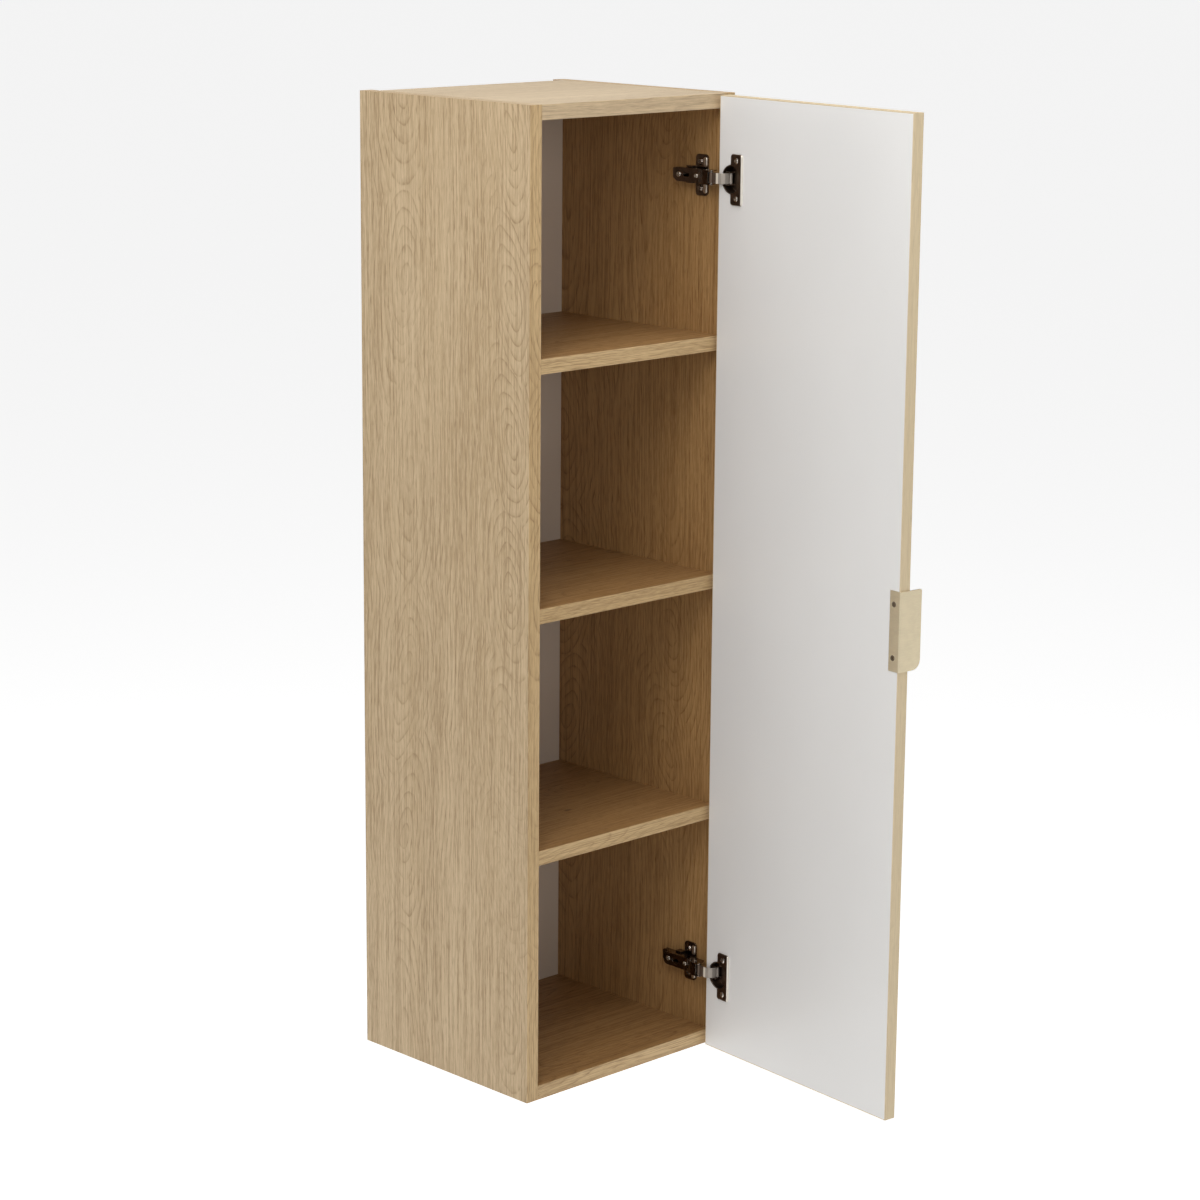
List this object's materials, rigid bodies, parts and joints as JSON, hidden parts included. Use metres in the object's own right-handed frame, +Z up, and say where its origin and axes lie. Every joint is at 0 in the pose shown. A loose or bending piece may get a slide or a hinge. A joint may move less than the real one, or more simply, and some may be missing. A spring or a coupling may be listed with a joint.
{
  "type": "hanging wall cabinet",
  "caption": "Tall narrow wall-hung cabinet in oak-look board with open shelving behind one full-height door on concealed hinges and a bent metal edge pull.",
  "frame": {"origin": "on the wall plane, midway between the upper pair of wall-screw holes", "axes": "+X to the right seen from the front, +Y back into the wall, +Z up"},
  "size_m": [0.335, 0.6388, 1.2],
  "materials": {
    "oak_board": "matt laminate, oak grain",
    "white_back": "matt white lacquer",
    "raw_board": "sawn board",
    "beech": "fluted, unfinished",
    "zinc_casting": "die cast",
    "zinc_steel": "zinc plated",
    "door_white": "matt white laminate",
    "door_oak": "matt laminate, oak grain",
    "edge_oak": "matt edge band, oak grain",
    "champagne_metal": "champagne anodised, fine brushed",
    "handle_screw": "blackened brass plating",
    "bright_nickel": "satin nickel",
    "pin_steel": "ground steel",
    "spring_steel": "oiled spring wire",
    "damper_plastic": "dark moulded",
    "black_screw": "black nickel",
    "black_nickel": "black nickel plated"
  },
  "bodies": {
    "carcass": {"back_panel": "white_back", "back_screws": "zinc_steel", "bottom_panel": "oak_board", "cam_bolts": "zinc_steel", "cam_locks": "zinc_casting", "hanging_rail_lower": "raw_board", "hanging_rail_upper": "raw_board", "left_side_panel": "oak_board", "lower_arm_pins": "pin_steel", "lower_arm_screws": "black_screw", "lower_closing_spring": "spring_steel", "lower_hinge_arm": "black_nickel", "lower_hinge_plate": "black_nickel", "lower_plate_screws": "black_screw", "rail_dowels": "beech", "right_side_panel": "oak_board", "shelf_lower": "oak_board", "shelf_middle": "oak_board", "shelf_upper": "oak_board", "top_panel": "oak_board", "upper_arm_pins": "pin_steel", "upper_arm_screws": "black_screw", "upper_closing_spring": "spring_steel", "upper_hinge_arm": "black_nickel", "upper_hinge_plate": "black_nickel", "upper_plate_screws": "black_screw", "wood_dowels": "beech"},
    "inner_links": {"lower_inner_link": "bright_nickel", "upper_inner_link": "bright_nickel"},
    "outer_links": {"lower_outer_link": "bright_nickel", "upper_outer_link": "bright_nickel"},
    "door": {"door_edge_bands": "edge_oak", "door_facing": "door_oak", "door_panel": "door_white", "edge_pull": "champagne_metal", "edge_pull_screws": "handle_screw", "lower_cup_pins": "pin_steel", "lower_cup_screws": "black_screw", "lower_damper": "damper_plastic", "lower_hinge_cup": "black_nickel", "upper_cup_pins": "pin_steel", "upper_cup_screws": "black_screw", "upper_damper": "damper_plastic", "upper_hinge_cup": "black_nickel"}
  },
  "joints": [
    {"name": "inner_link_turn", "type": "hinge", "parent": "carcass", "child": "inner_links", "pos_m": [0.1301, -0.2982, 0], "axis": [0, 0, 1], "range_deg": [-4.04, 34]},
    {"name": "door_swing", "type": "hinge", "parent": "inner_links", "child": "door", "pos_m": [0.14187, -0.31975, 0], "axis": [0, 0, 1], "range_deg": [-118.95, 13.99]},
    {"name": "outer_link_turn", "type": "hinge", "parent": "carcass", "child": "outer_links", "pos_m": [0.1345, -0.289, 0], "axis": [0, 0, 1], "range_deg": [-4.45, 37.45]}
  ],
  "couplings": [
    {"joint": "inner_link_turn", "follows": "door_swing", "ratio": -0.28544},
    {"joint": "outer_link_turn", "follows": "door_swing", "ratio": -0.31441}
  ]
}
